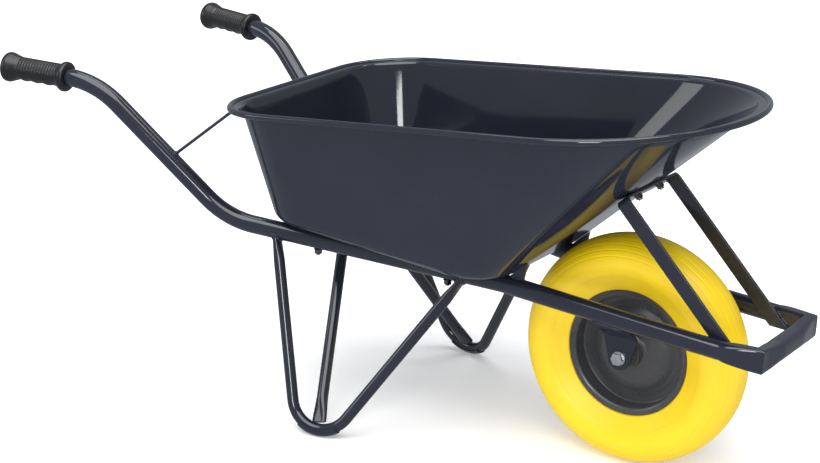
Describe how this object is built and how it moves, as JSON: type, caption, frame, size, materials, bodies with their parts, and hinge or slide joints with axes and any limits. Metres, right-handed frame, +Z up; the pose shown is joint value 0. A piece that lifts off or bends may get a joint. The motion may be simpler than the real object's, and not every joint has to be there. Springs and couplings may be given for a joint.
{
  "type": "wheelbarrow",
  "caption": "Builder's wheelbarrow: bent tube frame, pressed steel tray, splayed V legs and a puncture-proof wheel that turns freely on ball bearings.",
  "frame": {"origin": "on the ground, under the middle of the whole barrow's length and width", "axes": "+X points forwards, from the handles to the wheel; +Y to the left of the person pushing it; +Z up"},
  "size_m": [1.4302, 0.6398, 0.6372],
  "materials": {
    "slate_paint": "gloss slate grey enamel on steel",
    "grip_rubber": "moulded black rubber with fine ribs",
    "zinc_plate": "bright zinc plate",
    "tyre_foam": "yellow moulded foam with fine ribs",
    "wheel_paint": "satin dark grey paint on pressed steel"
  },
  "bodies": {
    "barrow": {"frame_tube": "slate_paint", "grip_left": "grip_rubber", "grip_right": "grip_rubber", "leg_left": "slate_paint", "leg_right": "slate_paint", "leg_brace": "slate_paint", "foot_shoe_left": "slate_paint", "foot_shoe_right": "slate_paint", "axle_bracket_left": "slate_paint", "axle_bracket_right": "slate_paint", "front_stay": "slate_paint", "saddle_left": "slate_paint", "saddle_right": "slate_paint", "rear_rod": "slate_paint", "tray": "slate_paint", "tray_bolts": "zinc_plate", "tray_washers": "zinc_plate", "tray_nuts": "zinc_plate", "stay_bolts": "zinc_plate", "stay_nuts": "zinc_plate", "bearing_inner_rings": "zinc_plate", "axle_sleeve": "zinc_plate", "axle_spacers": "zinc_plate", "axle_bolt": "zinc_plate", "axle_washers": "zinc_plate", "axle_nut": "zinc_plate"},
    "wheel": {"tyre": "tyre_foam", "rim_left": "wheel_paint", "rim_right": "wheel_paint", "hub_tube": "wheel_paint", "bearing_outer_rings": "zinc_plate", "bearing_balls": "zinc_plate"}
  },
  "joints": [
    {"name": "wheel_spin", "type": "hinge", "parent": "barrow", "child": "wheel", "pos_m": [0.43417, 0, 0.2], "axis": [0, 1, 0], "continuous": true}
  ]
}
